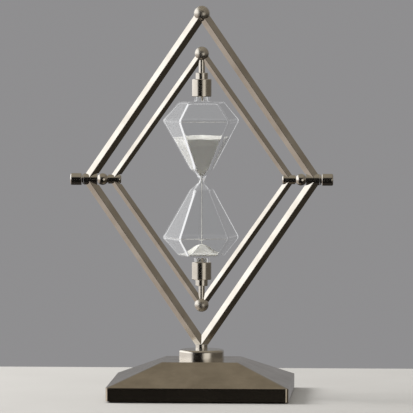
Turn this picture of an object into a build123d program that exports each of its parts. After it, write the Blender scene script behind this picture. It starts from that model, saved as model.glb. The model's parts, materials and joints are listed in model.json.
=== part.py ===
from build123d import *

import os
from math import atan2, cos, sqrt, tan

# A turning hourglass on a square base of folded sheet. All sizes are in millimetres.
# The origin is on the surface that it stands on, under the middle of the base.
# +Z is up and the axle lies along X, so the frames stand in the XZ plane.

# --- driving dimensions: the base ---
FELT_THICKNESS = 1.5
FELT_SIDE = 178.0
FELT_CORNER = 4.0
BASE_SIDE = 185.0
BASE_CORNER = 3.0
SKIRT_TOP = 15.0
PLATEAU_SIDE = 78.0
PLATEAU_HEIGHT = 37.0
PLATEAU_CORNER = 1.6
SHELL_WALL = 2.0
CORNER_SHARE = 0.5
PLATE_GAP = 0.3
PLATE_THICKNESS = 3.0
PLATE_CORNER = 1.5
TAB_WIDTH = 24.0
TAB_REACH = 14.0
TAB_THICKNESS = 2.5
SCREW_INSET = 8.0
SCREW_RADIUS = 2.0
SCREW_HEAD_RADIUS = 4.0
SCREW_LENGTH = 8.0

# --- driving dimensions: the foot of the outer frame ---
COLLAR_RADIUS = 23.2
COLLAR_TOP = 47.4
COLLAR_ROUND = 2.6
COLLAR_BORE = 5.2
BOSS_RADIUS = 6.2
BOSS_TOP = 52.5
SPIGOT_RADIUS = 5.0
SPIGOT_BOTTOM = 38.5
BOLT_RADIUS = 3.0
BOLT_TIP = 50.0
BOLT_HEAD_RADIUS = 5.8
BOLT_HEAD_HEIGHT = 4.2
BOLT_WASHER_RADIUS = 14.0
BOLT_WASHER_THICKNESS = 2.0
THREAD_GAP = 0.05
HOLE_GAP = 0.3

# --- driving dimensions: the two diamond frames ---
AXLE_HEIGHT = 222.2
OUTER_BAR = 8.0
OUTER_HALF_WIDTH = 116.6
OUTER_RISE = 170.0
OUTER_BALL_RADIUS = 8.1
INNER_BAR = 6.0
INNER_HALF_WIDTH = 91.0
INNER_RISE = 129.0
INNER_BALL_RADIUS = 7.25
BAR_EDGE = 0.45

# --- driving dimensions: the axle stack, measured out from the middle of the object ---
HEAD_START = 82.7
HEAD_END = 85.5
HEAD_ROUND = 2.0
HUB_WASHER_END = 86.4
INNER_HUB_END = 96.0
NECK_END = 97.1
SPACER_END = 106.9
AXLE_PLAY = 0.4
FLANGE_START = SPACER_END + AXLE_PLAY
FLANGE_END = 108.3
OUTER_HUB_END = 121.0
KNOB_WASHER_START = OUTER_HUB_END + AXLE_PLAY
KNOB_WASHER_END = 122.4
KNOB_START = 123.5
KNOB_END = 135.0
SHAFT_END = 131.0
SHAFT_RADIUS = 2.5
RUNNING_GAP = 0.05
BUSH_RADIUS = 3.5
FLANGE_RADIUS = 5.95
OUTER_HUB_RADIUS = 5.75
INNER_HUB_RADIUS = 4.7
HUB_WASHER_RADIUS = 5.1
NECK_RADIUS = 3.5
SPACER_RADIUS = 6.05
KNOB_WASHER_RADIUS = 5.3
KNOB_NECK_RADIUS = 3.7
KNOB_RADIUS = 6.15
KNOB_ROUND = 1.6
KNOB_EDGE = 0.5

# --- driving dimensions: the glass, measured up and down from the axle ---
# Its section has five corners, at these angles to the left and right of its front.
CORNER_ANGLES = [-107.0, -39.5, 39.5, 107.0, 180.0]
# The front face is turned this far to the right of the base's front.
GLASS_TURN = 8.0
TABLE_HEIGHT = 79.8
GLASS_WALL = 2.2
BORE_START = 75.4
# Each profile is a list of heights, with the distance of the section's corners from the middle.
OUTSIDE_PROFILE = [
    (0.0, 4.2),
    (4.0, 5.2),
    (7.0, 8.6),
    (11.0, 13.3),
    (58.8, 40.8),
    (61.2, 40.8),
    (TABLE_HEIGHT, 24.2),
]
INSIDE_PROFILE = [
    (0.0, 1.2),
    (4.0, 2.2),
    (7.0, 5.3),
    (11.0, 10.2),
    (59.0, 37.7),
    (60.6, 37.7),
    (TABLE_HEIGHT - GLASS_WALL, 22.6),
]
STUB_RADIUS = 8.0
STUB_INSIDE = 5.8
STUB_END = 96.0
STOPPER_START = 85.6
STOPPER_END = 97.0
SAND_GAP = 0.3
LAYER_GAP = 0.6
SAND_LEVEL = 43.3
SAND_BOTTOM = 4.5
LAYER_HEIGHT = 75.8
MOUND_PEAK = 66.0
MOUND_RADIUS = 17.6
STREAM_RADIUS = 0.5

# --- driving dimensions: what holds the glass ---
CUP_RADIUS = 10.1
CUP_WALL = 1.2
CUP_START = 85.0
CUP_END = 103.0
CUP_FLOOR = 2.0
CEMENT_INSET = 0.6
LOCKNUT_RADIUS = 6.35
LOCKNUT_END = 109.5
STEM_RADIUS = 3.2
SMALL_CHAMFER = 0.5

SIDES = {"left": -1, "right": 1}
LEVELS = {"upper": 1, "lower": -1}
ROOM = 400.0


def turned_x(radius, start, end, bore=0.0):
    """A cylinder about the X axis from x = start to x = end, with a bore right through it."""
    length = end - start
    rod = Cylinder(radius, length)
    if bore:
        rod -= Cylinder(bore, length)
    return Pos((start + end) / 2, 0, 0) * Rot(0, 90, 0) * rod


def turned_z(radius, bottom, top, bore=0.0):
    """A cylinder about the Z axis from z = bottom to z = top, with a bore right through it."""
    height = top - bottom
    post = Cylinder(radius, height)
    if bore:
        post -= Cylinder(bore, height)
    return Pos(0, 0, (bottom + top) / 2) * post


def to_side(shape, side):
    """A shape made for the right, put on the side with this sign."""
    return shape if side > 0 else mirror(shape, about=Plane.YZ)


def to_level(shape, level):
    """A shape made above the axle, put above or below it."""
    return shape if level > 0 else mirror(shape, about=Plane.XY)


def at_axle(shape):
    """A shape drawn about the axle, lifted to the axle's height."""
    return Pos(0, 0, AXLE_HEIGHT) * shape


def rounded_square(side, corner, height):
    """A square sketch with rounded corners at this height."""
    return Pos(0, 0, height) * RectangleRounded(side, side, corner)


def ruled(*sections):
    """A solid with straight sides through these sections, in order."""
    return loft(Sketch() + list(sections), ruled=True)


def quarter(side, level):
    """The quarter of space, about the axle, that one bar of a diamond lies in."""
    return Pos(side * ROOM / 2, 0, level * ROOM / 2) * Box(ROOM, ROOM, ROOM)


def diamond_bar(width, half_width, rise, side, level):
    """One square bar, set on edge, along one side of a diamond, mitred at both ends."""
    along = Vector(-side * half_width, 0, level * rise).normalized()
    across = Vector(0, 1, 0).cross(along)
    middle = Vector(side * half_width / 2, 0, level * rise / 2)
    section = Plane(middle, x_dir=Vector(0, 1, 0) + across, z_dir=along)
    reach = sqrt(half_width**2 + rise**2) / 2 + 2 * width
    bar = extrude(section * RectangleRounded(width, width, BAR_EDGE), reach, both=True)
    return bar & quarter(side, level)


# --- the base: felt, plate, tabs, screws and shell ---


def skirt_and_roof(inset, bottom):
    """The base's outline as a solid, this far in from its outside, from z = bottom up."""
    slope = atan2(PLATEAU_HEIGHT - SKIRT_TOP, (BASE_SIDE - PLATEAU_SIDE) / 2)
    skirt_top = SKIRT_TOP - inset * (1 / cos(slope) - tan(slope))
    plateau_side = PLATEAU_SIDE - 2 * inset * (1 / cos(slope) - 1) / tan(slope)
    side = BASE_SIDE - 2 * inset
    lost = CORNER_SHARE * inset
    skirt = extrude(rounded_square(side, BASE_CORNER - lost, bottom), skirt_top - bottom)
    roof = ruled(
        rounded_square(side, BASE_CORNER - lost, skirt_top),
        rounded_square(plateau_side, PLATEAU_CORNER - lost, PLATEAU_HEIGHT - inset),
    )
    return skirt + roof


def make_base_shell():
    """The folded sheet shell with its vertical skirt, four slopes and flat top."""
    shell = skirt_and_roof(0.0, FELT_THICKNESS) - skirt_and_roof(SHELL_WALL, FELT_THICKNESS)
    return shell - turned_z(BOLT_RADIUS + HOLE_GAP, SKIRT_TOP, PLATEAU_HEIGHT)


def screw_places():
    """Where the four base screws stand, near the middle of each side."""
    reach = BASE_SIDE / 2 - SHELL_WALL - SCREW_INSET
    return [Pos(reach, 0, 0), Pos(-reach, 0, 0), Pos(0, reach, 0), Pos(0, -reach, 0)]


def screw_solid(gap):
    """A countersunk screw with its head at the bottom, or its hole when gap is more than 0."""
    head_height = SCREW_HEAD_RADIUS - SCREW_RADIUS
    head = Cone(SCREW_HEAD_RADIUS + gap, SCREW_RADIUS + gap, head_height)
    shank = turned_z(SCREW_RADIUS + gap, head_height, SCREW_LENGTH)
    return Pos(0, 0, FELT_THICKNESS) * (Pos(0, 0, head_height / 2) * head + shank)


def make_base_plate():
    """The steel plate that closes the underside, countersunk for its screws."""
    side = BASE_SIDE - 2 * SHELL_WALL - 2 * PLATE_GAP
    plate = extrude(rounded_square(side, PLATE_CORNER, FELT_THICKNESS), PLATE_THICKNESS)
    for place in screw_places():
        plate -= place * screw_solid(THREAD_GAP)
    return plate


def make_base_tabs():
    """Four tapped tabs, welded inside the skirt, that the plate is screwed to."""
    bottom = FELT_THICKNESS + PLATE_THICKNESS
    reach = BASE_SIDE / 2 - SHELL_WALL - TAB_REACH / 2
    block = Pos(reach, 0, bottom + TAB_THICKNESS / 2) * Box(TAB_REACH, TAB_WIDTH, TAB_THICKNESS)
    tabs = []
    for quarter_turn, place in zip((0, 180, 90, 270), screw_places()):
        tabs.append(Rot(0, 0, quarter_turn) * block - place * screw_solid(THREAD_GAP))
    return Compound(children=tabs)


def make_base_screws():
    """The four countersunk screws under the felt."""
    return Compound(children=[place * screw_solid(0.0) for place in screw_places()])


def make_felt_pad():
    """The felt that the base stands on."""
    return extrude(rounded_square(FELT_SIDE, FELT_CORNER, 0.0), FELT_THICKNESS)


# --- the foot: collar, boss, bolt and washer ---


def make_collar():
    """The thick round disc on the flat top, with a rounded upper edge."""
    disc = turned_z(COLLAR_RADIUS, PLATEAU_HEIGHT, COLLAR_TOP)
    disc = fillet(disc.edges().sort_by(Axis.Z)[-1], COLLAR_ROUND)
    return disc - turned_z(COLLAR_BORE, PLATEAU_HEIGHT, COLLAR_TOP)


def make_foot_boss():
    """The tapped boss that the lower bars are welded to, with a spigot down into the collar."""
    boss = turned_z(BOSS_RADIUS, COLLAR_TOP, BOSS_TOP) + turned_z(SPIGOT_RADIUS, SPIGOT_BOTTOM, COLLAR_TOP)
    return boss - turned_z(BOLT_RADIUS + THREAD_GAP, SPIGOT_BOTTOM, BOLT_TIP + THREAD_GAP)


def washer_bottom():
    """How low the washer under the shell's flat top reaches."""
    return PLATEAU_HEIGHT - SHELL_WALL - BOLT_WASHER_THICKNESS


def make_bolt_washer():
    """The wide washer that spreads the bolt's pull on the inside of the shell."""
    top = PLATEAU_HEIGHT - SHELL_WALL
    return turned_z(BOLT_WASHER_RADIUS, washer_bottom(), top, bore=BOLT_RADIUS + HOLE_GAP)


def make_frame_bolt():
    """The hex bolt that pulls boss, collar and shell together from below."""
    head = extrude(
        Pos(0, 0, washer_bottom() - BOLT_HEAD_HEIGHT) * RegularPolygon(BOLT_HEAD_RADIUS, 6),
        BOLT_HEAD_HEIGHT,
    )
    return head + turned_z(BOLT_RADIUS, washer_bottom(), BOLT_TIP)


# --- the outer frame: bars, ball, hubs and bushes ---


def make_outer_bar(side, level):
    """One bar of the outer diamond, cut to its hub and to the ball or the boss."""
    bar = diamond_bar(OUTER_BAR, OUTER_HALF_WIDTH, OUTER_RISE, side, level)
    bar -= to_side(turned_x(OUTER_HUB_RADIUS, SPACER_END, KNOB_START), side)
    bar -= to_side(turned_x(FLANGE_RADIUS, NECK_END, FLANGE_END), side)
    if level > 0:
        bar -= Pos(0, 0, OUTER_RISE) * Sphere(OUTER_BALL_RADIUS)
        return at_axle(bar - turned_z(OUTER_BALL_RADIUS, OUTER_RISE, ROOM))
    bar = at_axle(bar) - turned_z(BOSS_RADIUS, 0, BOSS_TOP)
    return bar & Pos(0, 0, COLLAR_TOP + ROOM / 2) * Box(ROOM, ROOM, ROOM)


def make_outer_ball():
    """The ball at the top of the outer frame."""
    return at_axle(Pos(0, 0, OUTER_RISE) * Sphere(OUTER_BALL_RADIUS))


def make_outer_hub(side):
    """The sleeve that joins two outer bars and holds the bush."""
    hub = turned_x(OUTER_HUB_RADIUS, FLANGE_END, OUTER_HUB_END, bore=BUSH_RADIUS)
    hub = chamfer(hub.edges().filter_by(GeomType.CIRCLE).sort_by(Axis.X)[-1], SMALL_CHAMFER)
    return at_axle(to_side(hub, side))


def make_hub_bush(side):
    """The flanged bush that the pivot bolt turns in."""
    bore = SHAFT_RADIUS + RUNNING_GAP
    bush = turned_x(BUSH_RADIUS, FLANGE_END, OUTER_HUB_END, bore=bore)
    bush += turned_x(FLANGE_RADIUS, FLANGE_START, FLANGE_END, bore=bore)
    return at_axle(to_side(bush, side))


# --- the axle stack that turns: bolt, washers, hub, spacer and knob ---


def make_pivot_bolt(side):
    """The bolt that the inner frame turns on, with a low domed head on the inside."""
    head = turned_x(INNER_HUB_RADIUS, HEAD_START, HEAD_END)
    head = fillet(head.edges().filter_by(GeomType.CIRCLE).sort_by(Axis.X)[0], HEAD_ROUND)
    return at_axle(to_side(head + turned_x(SHAFT_RADIUS, HEAD_END, SHAFT_END), side))


def make_axle_ring(radius, start, end, side):
    """A ring threaded on the pivot bolt."""
    ring = turned_x(radius, start, end, bore=SHAFT_RADIUS + RUNNING_GAP)
    return at_axle(to_side(ring, side))


def make_ball_spacer(side):
    """The ball between the two frames, flattened where it meets its neighbours."""
    middle = (NECK_END + SPACER_END) / 2
    ball = Pos(middle, 0, 0) * Sphere(SPACER_RADIUS)
    ball &= turned_x(SPACER_RADIUS, NECK_END, SPACER_END, bore=SHAFT_RADIUS + RUNNING_GAP)
    return at_axle(to_side(ball, side))


def make_knob(side):
    """The turned knob, with a short neck, that is screwed on the end of the pivot bolt."""
    grip = turned_x(KNOB_RADIUS, KNOB_START, KNOB_END)
    rims = grip.edges().filter_by(GeomType.CIRCLE).sort_by(Axis.X)
    grip = chamfer(rims[0], KNOB_EDGE)
    rims = grip.edges().filter_by(GeomType.CIRCLE).sort_by(Axis.X)
    grip = fillet(rims[-1], KNOB_ROUND)
    knob = grip + turned_x(KNOB_NECK_RADIUS, KNOB_WASHER_END, KNOB_START)
    knob -= turned_x(SHAFT_RADIUS + RUNNING_GAP, KNOB_WASHER_END, SHAFT_END + AXLE_PLAY)
    return at_axle(to_side(knob, side))


# --- the inner frame: bars and balls ---


def make_inner_bar(side, level):
    """One bar of the inner diamond, cut to its hub, its ball and the stem."""
    bar = diamond_bar(INNER_BAR, INNER_HALF_WIDTH, INNER_RISE, side, level)
    bar -= to_side(turned_x(INNER_HUB_RADIUS, HUB_WASHER_END, INNER_HUB_END), side)
    bar -= to_side(turned_x(HUB_WASHER_RADIUS, HEAD_START, HUB_WASHER_END), side)
    bar -= to_level(turned_z(STEM_RADIUS, LOCKNUT_END, INNER_RISE), level)
    bar -= to_level(turned_z(INNER_BALL_RADIUS, INNER_RISE, ROOM), level)
    return at_axle(bar - Pos(0, 0, level * INNER_RISE) * Sphere(INNER_BALL_RADIUS))


def make_inner_ball(level):
    """The ball at the top or the bottom of the inner frame."""
    return at_axle(Pos(0, 0, level * INNER_RISE) * Sphere(INNER_BALL_RADIUS))


# --- the glass and the sand in it ---


def section(corner_radius, height):
    """The glass's five-cornered section at a height, with its widest face to the front."""
    corners = []
    for angle in CORNER_ANGLES:
        corners.append(Vector(0, -corner_radius).rotate(Axis.Z, angle + GLASS_TURN))
    return Pos(0, 0, height) * Polygon(*corners, align=None)


def bulb(profile):
    """A solid of this profile, with flat faces, from the neck up."""
    return ruled(*[section(radius, height) for height, radius in profile])


def inside_radius(height):
    """How far the glass's inner corners are from the middle at this height."""
    for (low, low_radius), (high, high_radius) in zip(INSIDE_PROFILE, INSIDE_PROFILE[1:]):
        if low <= height <= high:
            share = (height - low) / (high - low)
            return low_radius + share * (high_radius - low_radius)
    raise ValueError(f"{height} is outside the glass")


def make_glass():
    """The faceted glass: two bulbs joined at the neck, with a round stub at each end."""
    upper = bulb(OUTSIDE_PROFILE) + turned_z(STUB_RADIUS, TABLE_HEIGHT - GLASS_WALL, STUB_END)
    upper -= bulb(INSIDE_PROFILE) + turned_z(STUB_INSIDE, BORE_START, STUB_END)
    return at_axle(upper + mirror(upper, about=Plane.XY))


def make_stopper(level):
    """The cork in the end of the stub, hidden behind the rim of the ferrule."""
    cork = turned_z(STUB_INSIDE - THREAD_GAP, STOPPER_START, STOPPER_END)
    return at_axle(to_level(cork, level))


def make_sand_upper():
    """The sand that is still in the upper bulb, level on top."""
    between = [height for height, _ in INSIDE_PROFILE if SAND_BOTTOM < height < SAND_LEVEL]
    heights = [SAND_BOTTOM, *between, SAND_LEVEL]
    return at_axle(bulb([(height, inside_radius(height) - SAND_GAP) for height in heights]))


def make_sand_lower():
    """The sand that has fallen: it fills the stub, with a thin layer and a mound above."""
    floor = TABLE_HEIGHT - GLASS_WALL - THREAD_GAP
    layer = bulb([(height, inside_radius(height) - LAYER_GAP) for height in (floor, LAYER_HEIGHT)])
    height = LAYER_HEIGHT - MOUND_PEAK
    mound = Pos(0, 0, -LAYER_HEIGHT + height / 2) * Cone(MOUND_RADIUS, STREAM_RADIUS, height)
    plug = turned_z(STUB_INSIDE - SAND_GAP, LAYER_HEIGHT, STOPPER_START - THREAD_GAP)
    return at_axle(to_level(layer + plug, -1) + mound)


def make_sand_stream():
    """The thread of sand that falls from the upper bulb onto the mound."""
    return at_axle(turned_z(STREAM_RADIUS, -MOUND_PEAK, SAND_BOTTOM))


# --- what holds the glass: cups, cement, locknuts and stems ---


def make_cup(level):
    """The ferrule that the stub of the glass is cemented in."""
    cup = turned_z(CUP_RADIUS, CUP_START, CUP_END)
    rims = cup.edges().filter_by(GeomType.CIRCLE)
    cup = chamfer(rims, SMALL_CHAMFER)
    cup -= turned_z(CUP_RADIUS - CUP_WALL, CUP_START, CUP_END - CUP_FLOOR)
    cup -= turned_z(STEM_RADIUS + THREAD_GAP, CUP_START, CUP_END)
    return at_axle(to_level(cup, level))


def make_cement(level):
    """The ring of cement between the stub and the cup."""
    ring = turned_z(
        CUP_RADIUS - CUP_WALL - THREAD_GAP,
        CUP_START + CEMENT_INSET,
        STUB_END,
        bore=STUB_RADIUS + THREAD_GAP,
    )
    return at_axle(to_level(ring, level))


def make_locknut(level):
    """The round locknut on the stem, against the end of the cup."""
    nut = turned_z(LOCKNUT_RADIUS, CUP_END, LOCKNUT_END)
    nut = chamfer(nut.edges().filter_by(GeomType.CIRCLE).sort_by(Axis.Z)[-1], SMALL_CHAMFER)
    nut -= turned_z(STEM_RADIUS + THREAD_GAP, CUP_END, LOCKNUT_END)
    return at_axle(to_level(nut, level))


def make_stem(level):
    """The stem from the ball to the cup, threaded at its lower end."""
    stem = turned_z(STEM_RADIUS, CUP_END - CUP_FLOOR, INNER_RISE)
    stem -= Pos(0, 0, INNER_RISE) * Sphere(INNER_BALL_RADIUS)
    return at_axle(to_level(stem, level))


def make_all():
    """Every node of the hourglass, by name."""
    nodes = {
        "felt_pad": make_felt_pad(),
        "base_plate": make_base_plate(),
        "base_tabs": make_base_tabs(),
        "base_screws": make_base_screws(),
        "base_shell": make_base_shell(),
        "collar": make_collar(),
        "foot_boss": make_foot_boss(),
        "bolt_washer": make_bolt_washer(),
        "frame_bolt": make_frame_bolt(),
        "outer_ball": make_outer_ball(),
        "glass": make_glass(),
        "sand_upper": make_sand_upper(),
        "sand_lower": make_sand_lower(),
        "sand_stream": make_sand_stream(),
    }
    for level_name, level in LEVELS.items():
        for side_name, side in SIDES.items():
            nodes[f"outer_bar_{level_name}_{side_name}"] = make_outer_bar(side, level)
            nodes[f"inner_bar_{level_name}_{side_name}"] = make_inner_bar(side, level)
        nodes[f"inner_ball_{level_name}"] = make_inner_ball(level)
        nodes[f"stopper_{level_name}"] = make_stopper(level)
        nodes[f"ferrule_cup_{level_name}"] = make_cup(level)
        nodes[f"cement_{level_name}"] = make_cement(level)
        nodes[f"locknut_{level_name}"] = make_locknut(level)
        nodes[f"stem_{level_name}"] = make_stem(level)
    rings = {
        "hub_washer": (HUB_WASHER_RADIUS, HEAD_END, HUB_WASHER_END),
        "inner_hub": (INNER_HUB_RADIUS, HUB_WASHER_END, INNER_HUB_END),
        "neck_washer": (NECK_RADIUS, INNER_HUB_END, NECK_END),
        "knob_washer": (KNOB_WASHER_RADIUS, KNOB_WASHER_START, KNOB_WASHER_END),
    }
    for side_name, side in SIDES.items():
        nodes[f"outer_hub_{side_name}"] = make_outer_hub(side)
        nodes[f"hub_bush_{side_name}"] = make_hub_bush(side)
        nodes[f"pivot_bolt_{side_name}"] = make_pivot_bolt(side)
        nodes[f"ball_spacer_{side_name}"] = make_ball_spacer(side)
        nodes[f"knob_{side_name}"] = make_knob(side)
        for ring_name, (radius, start, end) in rings.items():
            nodes[f"{ring_name}_{side_name}"] = make_axle_ring(radius, start, end, side)
    return nodes


os.makedirs("parts", exist_ok=True)
for name, shape in make_all().items():
    export_step(shape, f"parts/{name}.step")
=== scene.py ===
# %% [markdown]
# # A turning hourglass in nickel and glass
#
# This lesson dresses a finished mechanical model of an hourglass. The model gives every
# metal part at its true size. Here it gets a camera, a small studio, metal, glass and sand.
# The glass and the sand are built again as meshes, because blown glass has softened edges
# and poured sand has a loose surface, which the mechanical model leaves out.

# %% Load the mechanical model
import json
from math import atan2, cos, pi, radians, sin

import bmesh
import bpy
from mathutils import Euler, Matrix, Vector, noise


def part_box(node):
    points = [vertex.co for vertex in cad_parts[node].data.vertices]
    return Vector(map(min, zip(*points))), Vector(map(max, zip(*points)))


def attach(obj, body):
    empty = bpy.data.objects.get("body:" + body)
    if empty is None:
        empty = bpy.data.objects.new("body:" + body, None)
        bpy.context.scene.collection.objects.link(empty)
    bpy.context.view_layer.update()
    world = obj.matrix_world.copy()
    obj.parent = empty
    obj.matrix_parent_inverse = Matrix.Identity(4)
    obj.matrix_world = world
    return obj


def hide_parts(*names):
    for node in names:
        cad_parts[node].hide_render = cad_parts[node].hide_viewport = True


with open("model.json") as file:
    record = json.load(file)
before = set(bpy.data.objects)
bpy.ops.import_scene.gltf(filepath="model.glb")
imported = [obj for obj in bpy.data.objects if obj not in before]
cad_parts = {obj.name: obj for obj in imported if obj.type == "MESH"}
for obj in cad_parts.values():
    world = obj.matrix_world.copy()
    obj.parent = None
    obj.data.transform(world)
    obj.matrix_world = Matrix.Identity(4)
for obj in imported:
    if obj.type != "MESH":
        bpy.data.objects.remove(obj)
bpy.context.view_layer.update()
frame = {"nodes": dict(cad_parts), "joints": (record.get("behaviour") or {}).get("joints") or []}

nodes = frame["nodes"]
joint = frame["joints"][0]

# %% [markdown]
# ## Camera
#
# The hourglass is seen from the front, from slightly to its right and a little above the
# table. A long lens keeps the two diamonds free of perspective, as in a catalogue picture.
# The camera could be posed by hand, but aiming it at a point in code keeps it repeatable.

# %% Place and aim the camera
CAMERA_DISTANCE = 4.75
CAMERA_HEIGHT = 0.438
CAMERA_TURN = radians(3.03)
CAMERA_ROLL = radians(0.05)
LENS = 403.8
SENSOR_WIDTH = 36.0
FARTHEST_SEEN = 50.0
aim = Vector((0.0049, 0.0, 0.1943))

camera_data = bpy.data.cameras.new("camera")
camera_data.lens = LENS
camera_data.sensor_width = SENSOR_WIDTH
camera_data.clip_end = FARTHEST_SEEN
camera = bpy.data.objects.new("camera", camera_data)
bpy.context.collection.objects.link(camera)
camera.location = (CAMERA_DISTANCE * sin(CAMERA_TURN), -CAMERA_DISTANCE * cos(CAMERA_TURN), CAMERA_HEIGHT)
look = (aim - camera.location).to_track_quat("-Z", "Y")
roll = Euler((0.0, 0.0, CAMERA_ROLL)).to_quaternion()
camera.rotation_euler = (look @ roll).to_euler()
bpy.context.scene.camera = camera
bpy.context.scene.view_settings.view_transform = "Standard"
print("camera at", [round(v, 3) for v in camera.location])

# %% [markdown]
# ## A few helpers for node materials
#
# Every finish below is a small network of nodes. Writing each node and link out in full
# hides the idea of the finish, so these helpers add a node, join two sockets, move a value
# to another range, calculate with two values, and blend two colours.

# %% Node helpers


def new_material(name):
    """An empty node material with an output, and its tree."""
    material = bpy.data.materials.new(name)
    material.use_nodes = True
    tree = material.node_tree
    tree.nodes.clear()
    return material, tree


def add(tree, kind, **settings):
    """A node of this kind, with its own settings and the numbers on its inputs."""
    node = tree.nodes.new(kind)
    for key, value in settings.items():
        if hasattr(node, key):
            setattr(node, key, value)
        else:
            node.inputs[key.replace("_", " ")].default_value = value
    return node


def join(tree, source, target):
    """A link from one socket to another."""
    tree.links.new(source, target)


def remap(tree, source, low, high, new_low, new_high, smooth=False):
    """The source value, moved from one range to another."""
    node = add(tree, "ShaderNodeMapRange")
    node.interpolation_type = "SMOOTHSTEP" if smooth else "LINEAR"
    join(tree, source, node.inputs["Value"])
    node.inputs["From Min"].default_value = low
    node.inputs["From Max"].default_value = high
    node.inputs["To Min"].default_value = new_low
    node.inputs["To Max"].default_value = new_high
    return node.outputs["Result"]


def calculate(tree, operation, first, second):
    """One operation on two values or sockets."""
    node = add(tree, "ShaderNodeMath", operation=operation)
    for socket, value in zip(node.inputs, (first, second)):
        if isinstance(value, (int, float)):
            socket.default_value = value
        else:
            join(tree, value, socket)
    return node.outputs[0]


def blend_colours(tree, share, first, second):
    """A colour between two colours or sockets."""
    node = add(tree, "ShaderNodeMix", data_type="RGBA")
    join(tree, share, node.inputs["Factor"])
    for socket, value in ((node.inputs[6], first), (node.inputs[7], second)):
        if isinstance(value, tuple):
            socket.default_value = (*value, 1.0)
        else:
            join(tree, value, socket)
    return node.outputs[2]


print("helpers ready")

# %% [markdown]
# ## The studio
#
# Polished nickel has hardly any colour of its own: it shows the room. The room here is a
# sky of soft zones. A broad white window fills the left, the front is dark with one pale
# card toward its right, the right is brown, and a grey wall stands behind. Real cards and
# lamps could do the same, but zones painted on the sky cast no shadows of their own.

# %% The colours of the zones
WALL = (0.275, 0.272, 0.275)
CEILING = (0.32, 0.285, 0.225)
TABLE_BELOW = (0.035, 0.030, 0.026)
DARK_FRONT = (0.010, 0.009, 0.008)
RIGHT_ABOVE = (0.215, 0.190, 0.155)
RIGHT_BELOW = (0.040, 0.034, 0.026)
WINDOW_ABOVE = (1.62, 1.60, 1.56)
WINDOW_BELOW = (0.54, 0.475, 0.42)
LIGHT_CARD = (0.92, 0.86, 0.76)
CARD_DIRECTION = Vector((sin(radians(30.0)), -cos(radians(30.0)), -0.09)).normalized()

world = bpy.data.worlds.new("studio")
world.use_nodes = True
world.cycles.sampling_method = "NONE"
bpy.context.scene.world = world
sky = world.node_tree
sky.nodes.clear()
direction = add(sky, "ShaderNodeTexCoord").outputs["Generated"]
parts = add(sky, "ShaderNodeSeparateXYZ")
join(sky, direction, parts.inputs[0])
right, back, up = parts.outputs


def zone(source, edge):
    """0 on one side of this edge of the sky and 1 on the other, with a soft change between."""
    return remap(sky, source, *edge, 0.0, 1.0, smooth=True)


print("window strength", WINDOW_ABOVE[0])

# %% [markdown]
# Each zone ends at a soft edge. An edge is two numbers, where the change begins and where it
# is complete, on one axis of the sky: to the right, to the back or up, from -1 to 1.

# %% Paint the zones, from the wall to the window
HORIZON_EDGE = (-0.25, 0.15)
CEILING_EDGE = (0.30, 0.75)
TABLE_EDGE = (-0.12, -0.35)
FRONT_EDGE = (-0.20, -0.55)
FRONT_TOP_EDGE = (0.80, 0.45)
RIGHT_EDGE = (0.38, 0.78)
CARD_EDGE = (cos(radians(26.0)), cos(radians(6.0)))
WINDOW_EDGE = (0.62, 0.82)
WINDOW_REACH_BACK = 0.35

above = zone(up, HORIZON_EDGE)
colour = blend_colours(sky, zone(up, CEILING_EDGE), WALL, CEILING)
colour = blend_colours(sky, zone(up, TABLE_EDGE), colour, TABLE_BELOW)
front = calculate(sky, "MULTIPLY", zone(back, FRONT_EDGE), zone(up, FRONT_TOP_EDGE))
colour = blend_colours(sky, front, colour, DARK_FRONT)
right_side = blend_colours(sky, above, RIGHT_BELOW, RIGHT_ABOVE)
colour = blend_colours(sky, zone(right, RIGHT_EDGE), colour, right_side)
toward_card = add(sky, "ShaderNodeVectorMath", operation="DOT_PRODUCT")
join(sky, direction, toward_card.inputs[0])
toward_card.inputs[1].default_value = CARD_DIRECTION
path = add(sky, "ShaderNodeLightPath")
card = zone(toward_card.outputs["Value"], CARD_EDGE)
card = calculate(sky, "MULTIPLY", card, path.outputs["Is Glossy Ray"])
colour = blend_colours(sky, card, colour, LIGHT_CARD)
behind = calculate(sky, "MULTIPLY", calculate(sky, "MAXIMUM", back, 0.0), WINDOW_REACH_BACK)
leftness = calculate(sky, "SUBTRACT", behind, right)
window = blend_colours(sky, above, WINDOW_BELOW, WINDOW_ABOVE)
colour = blend_colours(sky, zone(leftness, WINDOW_EDGE), colour, window)
print("zones painted")

# %% [markdown]
# Sand has to be lit differently from metal. Grains facing up want a broad soft light from
# above, and grains facing forward and down want shade, or the sand turns flat. A light path
# node tells the rays that have bounced off something matte, and only those get the new light.

# %% Light for the matte pieces
DIM_FRONT = (0.050, 0.049, 0.038)
SOFT_TOP = (1.15, 1.14, 1.10)
SHADE_EDGE = (0.25, -0.20)
SHADE_TOP_EDGE = (0.60, 0.25)
OVERHEAD_EDGE = (0.50, 0.90)

bounced = calculate(sky, "GREATER_THAN", path.outputs["Diffuse Depth"], 0.5)
low_front = calculate(sky, "MULTIPLY", zone(back, SHADE_EDGE), zone(up, SHADE_TOP_EDGE))
colour = blend_colours(sky, calculate(sky, "MULTIPLY", bounced, low_front), colour, DIM_FRONT)
overhead = calculate(sky, "MULTIPLY", bounced, zone(up, OVERHEAD_EDGE))
colour = blend_colours(sky, overhead, colour, SOFT_TOP)
print("light for matte pieces ready")

# %% [markdown]
# Looked at directly, or through the glass, the room should be one plain grey wall, with
# bright sides that the edges of the glass can gather. Rays that have bounced off sand still
# find the painted room, even when they pass through glass on their way.

# %% What the eye and the glass see
PLAIN = (0.275, 0.272, 0.278)
THROUGH_GLASS = (0.95, 0.95, 0.96)
SIDE_EDGE = (0.60, 0.96)
RIGHT_SHARE = 0.85

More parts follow.
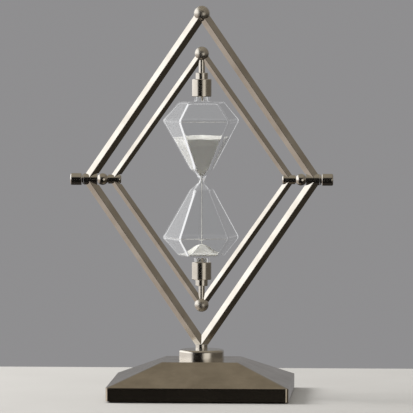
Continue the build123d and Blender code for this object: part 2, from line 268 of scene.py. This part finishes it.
sideways = calculate(sky, "MAXIMUM", calculate(sky, "MULTIPLY", right, RIGHT_SHARE), leftness)
side_light = zone(calculate(sky, "MAXIMUM", sideways, up), SIDE_EDGE)
glass_view = blend_colours(sky, side_light, PLAIN, THROUGH_GLASS)
first_light = calculate(sky, "LESS_THAN", path.outputs["Diffuse Depth"], 0.5)
in_glass = calculate(sky, "MAXIMUM", path.outputs["Is Transmission Ray"], path.outputs["Is Singular Ray"])
straight = calculate(sky, "MULTIPLY", in_glass, first_light)
colour = blend_colours(sky, straight, colour, glass_view)
colour = blend_colours(sky, path.outputs["Is Camera Ray"], colour, PLAIN)
background = add(sky, "ShaderNodeBackground")
join(sky, colour, background.inputs["Color"])
join(sky, background.outputs[0], add(sky, "ShaderNodeOutputWorld").inputs["Surface"])
print("sky nodes:", len(sky.nodes))

# %% [markdown]
# One large soft lamp stands high on the left, where the window is. It draws the shadow on
# the table and lights the sand through the glass. The sky alone would leave the shadow
# under the base too faint.

# %% The soft lamp
LAMP_SIZE = 1.6
LAMP_POWER = 110.0
LAMP_COLOUR = (1.0, 0.985, 0.96)
LAMP_PLACE = (-2.3, 0.3, 1.5)
LAMP_AIM = (0.0, 0.0, 0.2)
lamp_data = bpy.data.lights.new("soft_lamp", "AREA")
lamp_data.shape = "DISK"
lamp_data.size = LAMP_SIZE
lamp_data.energy = LAMP_POWER
lamp_data.color = LAMP_COLOUR
lamp = bpy.data.objects.new("soft_lamp", lamp_data)
bpy.context.collection.objects.link(lamp)
lamp.location = LAMP_PLACE
lamp.rotation_euler = (Vector(LAMP_AIM) - lamp.location).to_track_quat("-Z", "Y").to_euler()
lamp.visible_glossy = False
lamp.visible_camera = False
lamp.visible_transmission = False
print("lamp", LAMP_POWER, "W")

# %% [markdown]
# ## The table
#
# The hourglass stands on a plain pale table top. A flat plane would do, but a slab with a
# rounded rim has a believable edge against the wall. It is left out of reflections and of
# bounced light, so that metal and sand keep the dark ground that shows their shape.

# %% Build the table top
TABLE_HALF = 0.332
TABLE_CORNER = 0.06
TABLE_RIM = 0.004
TABLE_DEPTH = 0.02
RIM_STEPS = 6


def rounded_square_ring(half, corner, height, steps=8):
    """Points around a square with rounded corners."""
    points = []
    for quarter_turn in range(4):
        for step in range(steps + 1):
            angle = radians(90.0 * (quarter_turn + step / steps))
            middle = Vector((half - corner, half - corner, 0.0))
            middle.rotate(Euler((0.0, 0.0, radians(90.0 * quarter_turn))))
            points.append(middle + Vector((corner * cos(angle), corner * sin(angle), height)))
    return points


def skin(name, rings, closed=False):
    """A smooth mesh through rings with equal numbers of points, capped or joined end to end."""
    mesh = bpy.data.meshes.new(name)
    work = bmesh.new()
    rows = [[work.verts.new(point) for point in ring] for ring in rings]
    pairs = list(zip(rows, rows[1:]))
    if closed:
        pairs.append((rows[-1], rows[0]))
    for lower, upper in pairs:
        for here in range(len(lower)):
            following = (here + 1) % len(lower)
            work.faces.new((lower[here], lower[following], upper[following], upper[here]))
    if not closed:
        work.faces.new(list(reversed(rows[0])))
        work.faces.new(rows[-1])
    bmesh.ops.recalc_face_normals(work, faces=work.faces)
    work.to_mesh(mesh)
    work.free()
    for face in mesh.polygons:
        face.use_smooth = True
    piece = bpy.data.objects.new(name, mesh)
    bpy.context.collection.objects.link(piece)
    return piece


rim = []
for step in range(RIM_STEPS + 1):
    turn = radians(90.0 * step / RIM_STEPS)
    inset = TABLE_RIM * (1.0 - sin(turn))
    drop = TABLE_RIM * (1.0 - cos(turn))
    rim.append((inset, drop))
table_rings = [rounded_square_ring(TABLE_HALF, TABLE_CORNER, -TABLE_DEPTH)]
for inset, drop in reversed(rim):
    table_rings.append(rounded_square_ring(TABLE_HALF - inset, TABLE_CORNER - inset, -drop))
table_rings.append(rounded_square_ring(TABLE_HALF - 2.0 * TABLE_RIM, TABLE_CORNER - 2.0 * TABLE_RIM, 0.0))
table = skin("table_top", table_rings)
table.visible_glossy = False
table.visible_diffuse = False
print("table top", round(2 * TABLE_HALF, 3), "m square")

# %% [markdown]
# A plain painted top needs no pattern, only a slow drift between two close tones, or it
# looks like paper. A picture of paint could be wrapped on it; a soft noise is simpler.

# %% Paint the table top
TABLE_DARK = (0.42, 0.413, 0.406)
TABLE_LIGHT = (0.47, 0.465, 0.457)
material, tree = new_material("pale_table")
place = add(tree, "ShaderNodeTexCoord").outputs["Object"]
mottle = add(tree, "ShaderNodeTexNoise", Scale=9.0, Detail=4.0)
join(tree, place, mottle.inputs["Vector"])
pale = blend_colours(tree, mottle.outputs["Fac"], TABLE_DARK, TABLE_LIGHT)
paint = add(tree, "ShaderNodeBsdfPrincipled", Roughness=0.75)
join(tree, pale, paint.inputs["Base Color"])
join(tree, paint.outputs[0], add(tree, "ShaderNodeOutputMaterial").inputs["Surface"])
table.data.materials.append(material)
print("table painted")

# %% [markdown]
# ## Nickel
#
# All the metal is nickel plate over steel or brass. Three finishes are seen: bars brushed
# along their length, turned parts with fine rings from the lathe, and a base brushed along
# each slope. All share one recipe. A noise stretched along the brushing gives the hairlines,
# a broad noise gives uneven tone from handling, and edges are rubbed a little brighter.

# %% The shared recipe for nickel
RUBBED_BRIGHTER = 1.14
RUBBED_SHARE = 0.6
HAIRLINE_CONTRAST = 0.12
HAIRLINE_SHARE = 0.65
WEAR_SHARE = 0.35
HANDLING_SCALE = 38.0
HAIRLINE_STRENGTH = 0.35


def rubbed_edges(tree, width):
    """1 on rounded edges and corners, 0 on flats."""
    soft = add(tree, "ShaderNodeBevel", samples=4)
    soft.inputs["Radius"].default_value = width
    hard = add(tree, "ShaderNodeNewGeometry").outputs["Normal"]
    agree = add(tree, "ShaderNodeVectorMath", operation="DOT_PRODUCT")
    join(tree, soft.outputs[0], agree.inputs[0])
    join(tree, hard, agree.inputs[1])
    return remap(tree, agree.outputs["Value"], 0.995, 0.93, 0.0, 1.0)


def finish_nickel(tree, hairlines, tint, dark_tint, smooth, rough, depth, edge_width):
    """The nickel shader, from a hairline value between 0 and 1 and two tones of metal."""
    place = add(tree, "ShaderNodeTexCoord").outputs["Object"]
    handling = add(tree, "ShaderNodeTexNoise", Scale=HANDLING_SCALE, Detail=5.0, Roughness=0.6)
    join(tree, place, handling.inputs["Vector"])
    share = remap(tree, handling.outputs["Fac"], 0.35, 0.68, 0.0, 1.0)
    tone = blend_colours(tree, share, tint, dark_tint)
    lined = blend_colours(tree, remap(tree, hairlines, 0.3, 0.7, HAIRLINE_CONTRAST, 0.0), tone, dark_tint)
    brighter = tuple(min(1.0, value * RUBBED_BRIGHTER) for value in tint)
    rubbed = calculate(tree, "MULTIPLY", rubbed_edges(tree, edge_width), RUBBED_SHARE)
    colour = blend_colours(tree, rubbed, lined, brighter)
    metal = add(tree, "ShaderNodeBsdfPrincipled", Metallic=1.0)
    join(tree, colour, metal.inputs["Base Color"])
    wear = calculate(tree, "MULTIPLY", share, WEAR_SHARE)
    value = calculate(tree, "ADD", calculate(tree, "MULTIPLY", hairlines, HAIRLINE_SHARE), wear)
    join(tree, remap(tree, value, 0.2, 0.8, smooth, rough), metal.inputs["Roughness"])
    relief = add(tree, "ShaderNodeBump", Strength=HAIRLINE_STRENGTH, Distance=depth)
    join(tree, hairlines, relief.inputs["Height"])
    join(tree, relief.outputs[0], metal.inputs["Normal"])
    join(tree, metal.outputs[0], add(tree, "ShaderNodeOutputMaterial").inputs["Surface"])


def hairline_noise(tree, turn, stretch):
    """Noise drawn out along one axis of the object after it is turned."""
    place = add(tree, "ShaderNodeTexCoord").outputs["Object"]
    level = add(tree, "ShaderNodeMapping", vector_type="TEXTURE")
    level.inputs["Rotation"].default_value = turn
    join(tree, place, level.inputs["Vector"])
    drawn = add(tree, "ShaderNodeMapping")
    drawn.inputs["Scale"].default_value = stretch
    join(tree, level.outputs[0], drawn.inputs["Vector"])
    grain = add(tree, "ShaderNodeTexNoise", Scale=1.0, Detail=3.0, Roughness=0.65)
    join(tree, drawn.outputs[0], grain.inputs["Vector"])
    return grain.outputs["Fac"]


def dress(names, material):
    """Gives this finish to these nodes of the mechanical model."""
    for name in names:
        slots = nodes[name].data.materials
        slots.clear()
        slots.append(material)


print("nickel recipe ready")

# %% [markdown]
# ### Brushed bars
#
# The square bars of both diamonds are drawn stock, brushed along their length before they
# were plated. The hairlines must follow each bar, so the noise is turned to the bar's own
# slope. The slope comes from the box of each bar, so the finish fits both diamonds. One
# noise for all eight would be shorter to write, but it would cross the bars at an angle.

# %% Brush the eight bars
BAR_TINT = (0.70, 0.675, 0.635)
BAR_DARK_TINT = (0.56, 0.525, 0.475)
BAR_ROUGHNESS = (0.12, 0.20)
BAR_EDGE = 0.0006
LINE_DEPTH = 0.000002
FINE = 2200.0
LONG = 14.0

for name in [name for name in nodes if "_bar_" in name]:
    low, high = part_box(name)
    slope = atan2(high.x - low.x, high.z - low.z)
    leans_right = ("upper_left" in name) or ("lower_right" in name)
    turn = (0.0, slope if leans_right else -slope, 0.0)
    material, tree = new_material(name + "_nickel")
    lines = hairline_noise(tree, turn, (FINE, FINE, LONG))
    finish_nickel(tree, lines, BAR_TINT, BAR_DARK_TINT, *BAR_ROUGHNESS, LINE_DEPTH, BAR_EDGE)
    dress([name], material)
    print(name, "brushed at", round(turn[1] * 180 / pi, 1), "degrees")

# %% [markdown]
# ### Turned parts
#
# Balls, ferrules, hubs, washers and knobs come off a lathe. The tool leaves rings around
# the turning axis, so the noise is stretched around that axis: it varies mostly along it.
# The axis is upright for the ferrules and level for the axle. The balls are the dullest.

# %% Polish the turned parts
TURNED_TINT = (0.72, 0.695, 0.655)
TURNED_DARK_TINT = (0.60, 0.57, 0.52)
TURNED_EDGE = 0.0004
RING_COUNT = 2600.0
AROUND = 3.0
upright = [name for name in nodes
           if name.startswith(("collar", "foot_boss", "ferrule_cup", "locknut", "stem"))]
balls = [name for name in nodes if name.startswith(("outer_ball", "inner_ball"))]
on_axle = [name for name in nodes
           if name.startswith(("outer_hub", "hub_", "pivot", "inner_hub", "neck", "knob", "ball_spacer"))]
for label, names, stretch, smooth, rough in (
    ("upright", upright, (AROUND, AROUND, RING_COUNT), 0.16, 0.26),
    ("ball", balls, (RING_COUNT, AROUND, AROUND), 0.32, 0.42),
    ("axle", on_axle, (RING_COUNT, AROUND, AROUND), 0.13, 0.21),
):
    material, tree = new_material(label + "_turned_nickel")
    lines = hairline_noise(tree, (0.0, 0.0, 0.0), stretch)
    finish_nickel(tree, lines, TURNED_TINT, TURNED_DARK_TINT, smooth, rough, LINE_DEPTH, TURNED_EDGE)
    dress(names, material)
    print(label, len(names), "parts polished")

# %% [markdown]
# ### The brushed base
#
# The base is folded sheet, brushed level along each of its four slopes. Two sets of
# hairlines are made, one for the front and back and one for the sides, and the way a face
# points picks between them. The sheet is warmer and duller than the bars.

# %% Brush the base
BASE_TINT = (0.56, 0.505, 0.435)
BASE_DARK_TINT = (0.43, 0.385, 0.325)
BASE_ROUGHNESS = (0.15, 0.22)
BASE_EDGE = 0.0012
ALONG_BASE = 7.0
ACROSS_BASE = 1500.0
MITRE_WIDTH = 0.02
material, tree = new_material("base_brushed_nickel")
across = hairline_noise(tree, (0.0, 0.0, 0.0), (ALONG_BASE, ACROSS_BASE, ACROSS_BASE))
along = hairline_noise(tree, (0.0, 0.0, 0.0), (ACROSS_BASE, ALONG_BASE, ACROSS_BASE))
facing = add(tree, "ShaderNodeSeparateXYZ")
join(tree, add(tree, "ShaderNodeTexCoord").outputs["Normal"], facing.inputs[0])
to_side = calculate(tree, "ABSOLUTE", facing.outputs[0], 0.0)
to_front = calculate(tree, "ABSOLUTE", facing.outputs[1], 0.0)
sideways = calculate(tree, "SUBTRACT", to_side, to_front)
pick = add(tree, "ShaderNodeMix", data_type="FLOAT")
join(tree, remap(tree, sideways, -MITRE_WIDTH, MITRE_WIDTH, 0.0, 1.0), pick.inputs["Factor"])
join(tree, across, pick.inputs[2])
join(tree, along, pick.inputs[3])
finish_nickel(tree, pick.outputs[0], BASE_TINT, BASE_DARK_TINT, *BASE_ROUGHNESS, LINE_DEPTH, BASE_EDGE)
dress(["base_shell"], material)
print("base brushed")

# %% [markdown]
# ### Hidden steel, felt, cork and cement
#
# Little of these is seen, but each has its own matter. Steel is dull with mill marks. Felt
# is a mat of short fibres. Cork has dark pores. Cement is chalky with small pits. Noise and
# cells at the right scale are enough for all four.

# %% Matte finishes
ROUGHNESS_SPREAD = 0.08


def matte(name, light, dark, grain, roughness, relief_depth, metallic=0.0, cells=False):
    """A matte finish whose tone and relief follow one grain texture."""
    material, tree = new_material(name)
    place = add(tree, "ShaderNodeTexCoord").outputs["Object"]
    if cells:
        texture = add(tree, "ShaderNodeTexVoronoi", Scale=grain)
        value = texture.outputs["Distance"]
    else:
        texture = add(tree, "ShaderNodeTexNoise", Scale=grain, Detail=6.0, Roughness=0.7)
        value = texture.outputs["Fac"]
    join(tree, place, texture.inputs["Vector"])
    share = remap(tree, value, 0.25, 0.65, 0.0, 1.0)
    surface = add(tree, "ShaderNodeBsdfPrincipled", Metallic=metallic)
    join(tree, blend_colours(tree, share, dark, light), surface.inputs["Base Color"])
    uneven = remap(tree, value, 0.0, 1.0, roughness - ROUGHNESS_SPREAD, roughness + ROUGHNESS_SPREAD)
    join(tree, uneven, surface.inputs["Roughness"])
    relief = add(tree, "ShaderNodeBump", Strength=0.6, Distance=relief_depth)
    join(tree, value, relief.inputs["Height"])
    join(tree, relief.outputs[0], surface.inputs["Normal"])
    join(tree, surface.outputs[0], add(tree, "ShaderNodeOutputMaterial").inputs["Surface"])
    return material


dress(["base_plate", "base_tabs", "base_screws", "bolt_washer", "frame_bolt"],
      matte("mill_steel", (0.50, 0.50, 0.51), (0.38, 0.38, 0.39), 420.0, 0.45, 0.00004, metallic=1.0))
dress(["felt_pad"], matte("black_felt", (0.045, 0.043, 0.042), (0.015, 0.015, 0.015), 1400.0, 0.92, 0.0003))
dress(["stopper_upper", "stopper_lower"],
      matte("cork", (0.66, 0.48, 0.30), (0.34, 0.21, 0.12), 700.0, 0.85, 0.0002, cells=True))
dress(["cement_upper", "cement_lower"],
      matte("cement", (0.80, 0.78, 0.73), (0.62, 0.60, 0.55), 900.0, 0.88, 0.0001))
print("hidden finishes done")

# %% [markdown]
# ### What mirrors what
#
# With every part mirrored in every other, the bars came out full of dark specks in a fast
# render. With most parts left out of the mirrors only a few specks stay, and the metal shows
# little but the room. This is a shortcut, for real nickel would show its neighbours. The
# base, the collar and the boss stay in, so the foot of the hourglass still mirrors itself.

# %% Leave small parts out of the mirrors
MIRRORED = ("base_shell", "collar", "foot_boss")
for name, node in nodes.items():
    if name not in MIRRORED:
        node.visible_glossy = False
print("parts that are mirrored:", *MIRRORED)

# %% [markdown]
# ## The glass
#
# The glass is two bulbs with five flat facets each, fused at a thin neck. Flame softens
# every edge of real glass, and those soft edges catch the light as fine bright lines. A
# bevel on a boxy mesh could do it, but sections with their own corner radius also let the
# facets melt into the round neck and stubs.

# %% The section of the glass
AXLE = joint["pos_m"][2]
GLASS_TURN = 8.0
CORNER_ANGLES = (-107.0, -39.5, 39.5, 107.0, 180.0)
CORNER_STEPS = 5
FACE_STEPS = (0.03, 0.35, 0.65, 0.97)
MM = 0.001


def facing(angle):
    """The level direction at this angle to the right of the front."""
    return Vector((sin(radians(angle + GLASS_TURN)), -cos(radians(angle + GLASS_TURN)), 0.0))


def section_ring(height, corner_radius, soft, roundness, shrink=0.0):
    """Points around the section: 0 roundness is faceted, 1 is a plain circle."""
    reach = corner_radius - shrink
    soft = soft * (1.0 - roundness) + reach * roundness
    faces = []
    for here, there in zip(CORNER_ANGLES, CORNER_ANGLES[1:] + (CORNER_ANGLES[0] + 360.0,)):
        flat = cos(radians((there - here) / 2))
        faces.append(((here + there) / 2, reach * (flat * (1.0 - roundness) + roundness) - soft))
    corners = []
    for (before, near), (after, far) in zip([faces[-1], *faces], faces):
        before -= 360.0 if before > after else 0.0
        gap = radians(after - before)
        normal, tangent = facing(before), facing(before + 90.0)
        middle = normal * near + tangent * ((far - cos(gap) * near) / sin(gap))
        arc = [before + (after - before) * step / (CORNER_STEPS - 1) for step in range(CORNER_STEPS)]
        corners.append([middle + facing(angle) * soft for angle in arc])
    ring = []
    for corner, following in zip(corners, [*corners[1:], corners[0]]):
        ring += corner + [corner[-1].lerp(following[0], share) for share in FACE_STEPS]
    return [Vector((p.x * MM, p.y * MM, AXLE + height * MM)) for p in ring]


print("points in a section:", len(section_ring(60.0, 40.8, 1.0, 0.0)))

# %% [markdown]
# The outline runs from the neck out to the girdle, in to the table and up the stub. Each
# entry is a height above the axle, how far the corners reach, how soft the corners are, and
# how round the section is. The bends in the outline are softened with short curves too.

# %% Outlines of the outside and the inside, in millimetres
OUTSIDE = [
    (0.0, 3.7, 1.0, 1.0),
    (1.6, 3.9, 1.0, 1.0),
    (4.0, 5.1, 2.0, 0.75),
    (7.0, 8.5, 2.0, 0.35),
    (11.0, 13.3, 2.0, 0.1),
    (18.0, 17.3, 1.1, 0.0),
    (58.8, 40.8, 0.8, 0.0),
    (61.2, 40.8, 0.8, 0.0),
    (79.3, 24.6, 0.8, 0.0),
    (79.8, 21.5, 2.5, 0.2),
    (79.8, 11.0, 1.0, 1.0),
    (81.0, 8.0, 1.0, 1.0),
    (96.0, 8.0, 1.0, 1.0),
]
INSIDE = [
    (0.0, 1.2, 1.0, 1.0),
    (4.0, 2.2, 1.0, 0.8),
    (7.0, 5.3, 1.5, 0.4),
    (11.0, 10.2, 2.4, 0.15),
    (18.0, 14.2, 1.7, 0.0),
    (59.0, 37.7, 1.6, 0.0),
    (60.6, 37.7, 1.6, 0.0),
    (77.2, 23.0, 1.6, 0.0),
    (77.6, 20.0, 4.0, 0.3),
    (77.6, 8.0, 1.0, 1.0),
    (78.8, 5.8, 1.0, 1.0),
    (96.0, 5.8, 1.0, 1.0),
]


def soften_bends(outline, reach):
    """The outline with each bend replaced by a short curve between two support points."""
    soft = [outline[0]]
    for before, bend, after in zip(outline, outline[1:], outline[2:]):
        ends = []
        for other in (before, after):
            length = max(0.001, ((other[0] - bend[0]) ** 2 + (other[1] - bend[1]) ** 2) ** 0.5)
            ends.append([tuple(b + (o - b) * min(share * reach / length, 0.48) for b, o in zip(bend, other))
                         for share in (1.0, 1.5)])
        (near, far), (near_after, far_after) = ends
        curve = []
        for step in range(5):
            t = step / 4
            curve.append(tuple((1 - t) ** 2 * a + 2 * t * (1 - t) * b + t * t * c
                               for a, b, c in zip(near, bend, near_after)))
        soft += [far, *curve, far_after]
    return soft + [outline[-1]]


def both_ways(outline):
    """The outline from the bottom stub to the top stub."""
    below = [(-height, *rest) for height, *rest in reversed(outline)]
    return below[:-1] + outline


OUTSIDE_BEND = 0.9
INSIDE_BEND = 1.2
outer = both_ways(soften_bends(OUTSIDE, OUTSIDE_BEND))
inner = both_ways(soften_bends(INSIDE, INSIDE_BEND))
rings = [section_ring(*entry) for entry in outer] + [section_ring(*entry) for entry in reversed(inner)]
glass = skin("faceted_glass", rings, closed=True)
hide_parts("glass")
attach(glass, "turning_frame")
glass.visible_glossy = False
print("glass vertices:", len(glass.data.vertices))

# %% [markdown]
# Clear glass needs only a refraction of 1.5 and a trace of cool tint. Blown walls are never
# quite even, so a slow, shallow relief bends the reflections. Lamps can't shine through
# refracting glass in a fast render, so for their shadow rays it turns transparent. The
# glass and the sand are left out of mirrored rays, which is a shortcut too: with them in,
# the soft edges came out as thick black lines, and the edges of real glass are bright.

# %% Melt the glass
COOL_TINT = (0.985, 0.992, 0.992, 1.0)
LET_THROUGH = (0.97, 0.975, 0.975, 1.0)
REFRACTION = 1.5
RIPPLE_SCALE = 70.0
RIPPLE_STRENGTH = 0.12
RIPPLE_HEIGHT = 0.0012
material, tree = new_material("clear_glass")
place = add(tree, "ShaderNodeTexCoord").outputs["Object"]
ripple = add(tree, "ShaderNodeTexNoise", Scale=RIPPLE_SCALE, Detail=1.5, Roughness=0.4)
join(tree, place, ripple.inputs["Vector"])
relief = add(tree, "ShaderNodeBump", Strength=RIPPLE_STRENGTH, Distance=RIPPLE_HEIGHT)
join(tree, ripple.outputs["Fac"], relief.inputs["Height"])
clear = add(tree, "ShaderNodeBsdfPrincipled", Roughness=0.0, IOR=REFRACTION)
clear.inputs["Transmission Weight"].default_value = 1.0
clear.inputs["Base Color"].default_value = COOL_TINT
join(tree, relief.outputs[0], clear.inputs["Normal"])
pass_light = add(tree, "ShaderNodeBsdfTransparent")
pass_light.inputs["Color"].default_value = LET_THROUGH
for_lamps = add(tree, "ShaderNodeMixShader")
ray = add(tree, "ShaderNodeLightPath")
join(tree, ray.outputs["Is Shadow Ray"], for_lamps.inputs[0])
join(tree, clear.outputs[0], for_lamps.inputs[1])
join(tree, pass_light.outputs[0], for_lamps.inputs[2])
join(tree, for_lamps.outputs[0], add(tree, "ShaderNodeOutputMaterial").inputs["Surface"])
glass.data.materials.append(material)
print("glass material ready")

# %% [markdown]
# ## The sand
#
# White quartz sand fills half of the upper bulb, runs through the neck in a thread and piles
# up below. A particle system of real grains would need millions, since a grain is a quarter
# of a millimetre. Solid bodies with an uneven top, a fine grain texture and some light
# scattered inside them look the same at this distance.

# %% The upper sand
SAND_GAP = 0.3
SAND_LEVEL = 43.3
SAND_BOTTOM = 4.5
BACK_RISE = 1.6
MIDDLE_DIP = 1.4
BULB_REACH = 0.026


def inside_reach(height):
    """How far the inside corners of the bulb are from the middle at this height, and how soft and round."""
    for low, high in zip(INSIDE, INSIDE[1:]):
        if low[0] <= height <= high[0]:
            share = (height - low[0]) / max(0.001, high[0] - low[0])
            return tuple(a + (b - a) * share for a, b in zip(low[1:], high[1:]))
    return INSIDE[-1][1:]


def loose(point, size, amount):
    """A small uneven height at this point, always the same."""
    return amount * noise.noise(Vector((point.x, point.y, 0.0)) * (1000.0 / size))


def wall_ring(height, shrink):
    """The inside section of the bulb at this height, a little in from the glass."""
    reach, soft, roundness = inside_reach(abs(height))
    return section_ring(height, reach, soft, roundness, shrink=shrink)


LAST_WALL_RING = 34.0
SURFACE_RINGS = (0.985, 0.94, 0.86, 0.75, 0.62, 0.48, 0.34, 0.2, 0.08)
wall_heights = (SAND_BOTTOM, 5.5, 7.0, 9.0, 11.0, 14.0, 18.0, 26.0, LAST_WALL_RING)
sand_rings = [wall_ring(height, SAND_GAP) for height in wall_heights]
rim_flat = wall_ring(SAND_LEVEL, SAND_GAP)
low_rim = wall_ring(LAST_WALL_RING, SAND_GAP)
rim_ring = []
for flat, low in zip(rim_flat, low_rim):
    rise = BACK_RISE * MM * (flat.y / BULB_REACH) + loose(flat, 9.0, 0.7 * MM)
    share = 1.0 + rise / (flat.z - low.z)
    rim_ring.append(low.lerp(flat, share))
sand_rings.append(rim_ring)
centre = Vector((0.0, 0.0, AXLE + (SAND_LEVEL - MIDDLE_DIP) * MM))
for share in SURFACE_RINGS:
    ring = []
    for point in rim_ring:
        spot = centre.lerp(point, share)
        spot.z = centre.z + (point.z - centre.z) * share ** 1.6 + loose(spot, 5.0, 0.5 * MM)
        ring.append(spot)
    sand_rings.append(ring)
upper_sand = skin("upper_sand", sand_rings)
print("upper sand rings:", len(sand_rings))

# %% [markdown]
# The lower sand fills the stub down to its cork. Above is a thin layer with a bell-shaped
# mound where the thread lands. The mound follows a raised cosine out to the glass, which has
# the soft top and the spreading foot of a real pile.

# %% The lower sand and the thread
LAYER = 75.8
FLOOR = 77.5
PLUG_END = 85.5
MOUND_HEIGHT = 9.8
MOUND_RINGS = (0.97, 0.92, 0.86, 0.79, 0.71, 0.62, 0.53, 0.44, 0.35, 0.26, 0.18, 0.11, 0.05, 0.02)
THREAD_RADIUS = 0.46
THREAD_END = 65.8
THREAD_STEPS = 48
THREAD_SIDES = 8
layer_ring = wall_ring(-LAYER, SAND_GAP + 0.3)
plug_heights = (PLUG_END, 82.0, 79.2)
floor_bend = ((FLOOR, 8.0), (FLOOR, 2.2), (76.8, 0.7))
pile_rings = [wall_ring(-height, SAND_GAP) for height in plug_heights]
pile_rings += [wall_ring(-height, inward) for height, inward in floor_bend]
pile_rings.append(layer_ring)
for share in MOUND_RINGS:
    ring = []
    for point in layer_ring:
        spot = Vector((point.x * share, point.y * share, point.z))
        bell = (0.5 + 0.5 * cos(pi * share)) ** 1.1
        spot.z += MOUND_HEIGHT * MM * bell + loose(spot, 4.0, 0.45 * MM * (1.0 - bell * 0.5))
        ring.append(spot)
    pile_rings.append(ring)
lower_sand = skin("lower_sand", pile_rings)

thread_rings = []
for step in range(THREAD_STEPS + 1):
    height = -THREAD_END + (SAND_BOTTOM + THREAD_END) * step / THREAD_STEPS
    width = THREAD_RADIUS * (0.86 + 0.14 * noise.noise(Vector((0.0, 0.0, height * 0.9))))
    turns = [2.0 * pi * side / THREAD_SIDES for side in range(THREAD_SIDES)]
    thread_rings.append([
        Vector((width * MM * cos(turn), width * MM * sin(turn), AXLE + height * MM)) for turn in turns
    ])
sand_thread = skin("sand_thread", thread_rings)
for piece, node in ((upper_sand, "sand_upper"), (lower_sand, "sand_lower"), (sand_thread, "sand_stream")):
    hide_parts(node)
    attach(piece, "turning_frame")
    piece.visible_glossy = False
print("sand pieces: 3")

# %% [markdown]
# Seen close, the sand is a bed of round grains, each a little lighter or darker than the
# next. Cells give every grain its own tone and height. A broad noise drifts the tone, and a
# little light scattered inside keeps the sand from looking like plaster.

# %% Grains
GRAIN_SCALE = 2600.0
DARK_GRAIN = (0.80, 0.79, 0.75)
LIGHT_GRAIN = (0.93, 0.925, 0.90)
DRIFT_TONE = (0.84, 0.83, 0.79)
DRIFT_SCALE = 160.0
SCATTER_SHARE = 0.2
SCATTER_REACH = 0.003
SCATTER_TINT = (1.0, 0.98, 0.9)
GRAIN_RELIEF = 0.0002
material, tree = new_material("white_sand")
place = add(tree, "ShaderNodeTexCoord").outputs["Object"]
grains = add(tree, "ShaderNodeTexVoronoi", Scale=GRAIN_SCALE)
join(tree, place, grains.inputs["Vector"])
drift = add(tree, "ShaderNodeTexNoise", Scale=DRIFT_SCALE, Detail=4.0)
join(tree, place, drift.inputs["Vector"])
grey = add(tree, "ShaderNodeSeparateColor")
join(tree, grains.outputs["Color"], grey.inputs[0])
grain_tone = blend_colours(tree, grey.outputs[0], DARK_GRAIN, LIGHT_GRAIN)
drifted = remap(tree, drift.outputs["Fac"], 0.35, 0.7, 0.0, 0.35)
sand_tone = blend_colours(tree, drifted, grain_tone, DRIFT_TONE)
sand = add(tree, "ShaderNodeBsdfPrincipled", Roughness=0.9)
join(tree, sand_tone, sand.inputs["Base Color"])
sand.inputs["Subsurface Weight"].default_value = SCATTER_SHARE
sand.inputs["Subsurface Scale"].default_value = SCATTER_REACH
sand.inputs["Subsurface Radius"].default_value = SCATTER_TINT
relief = add(tree, "ShaderNodeBump", Strength=0.55, Distance=GRAIN_RELIEF)
join(tree, grains.outputs["Distance"], relief.inputs["Height"])
join(tree, relief.outputs[0], sand.inputs["Normal"])
join(tree, sand.outputs[0], add(tree, "ShaderNodeOutputMaterial").inputs["Surface"])
for piece in (upper_sand, lower_sand, sand_thread):
    piece.data.materials.append(material)
print("grain size about", round(1000 / GRAIN_SCALE, 2), "mm")
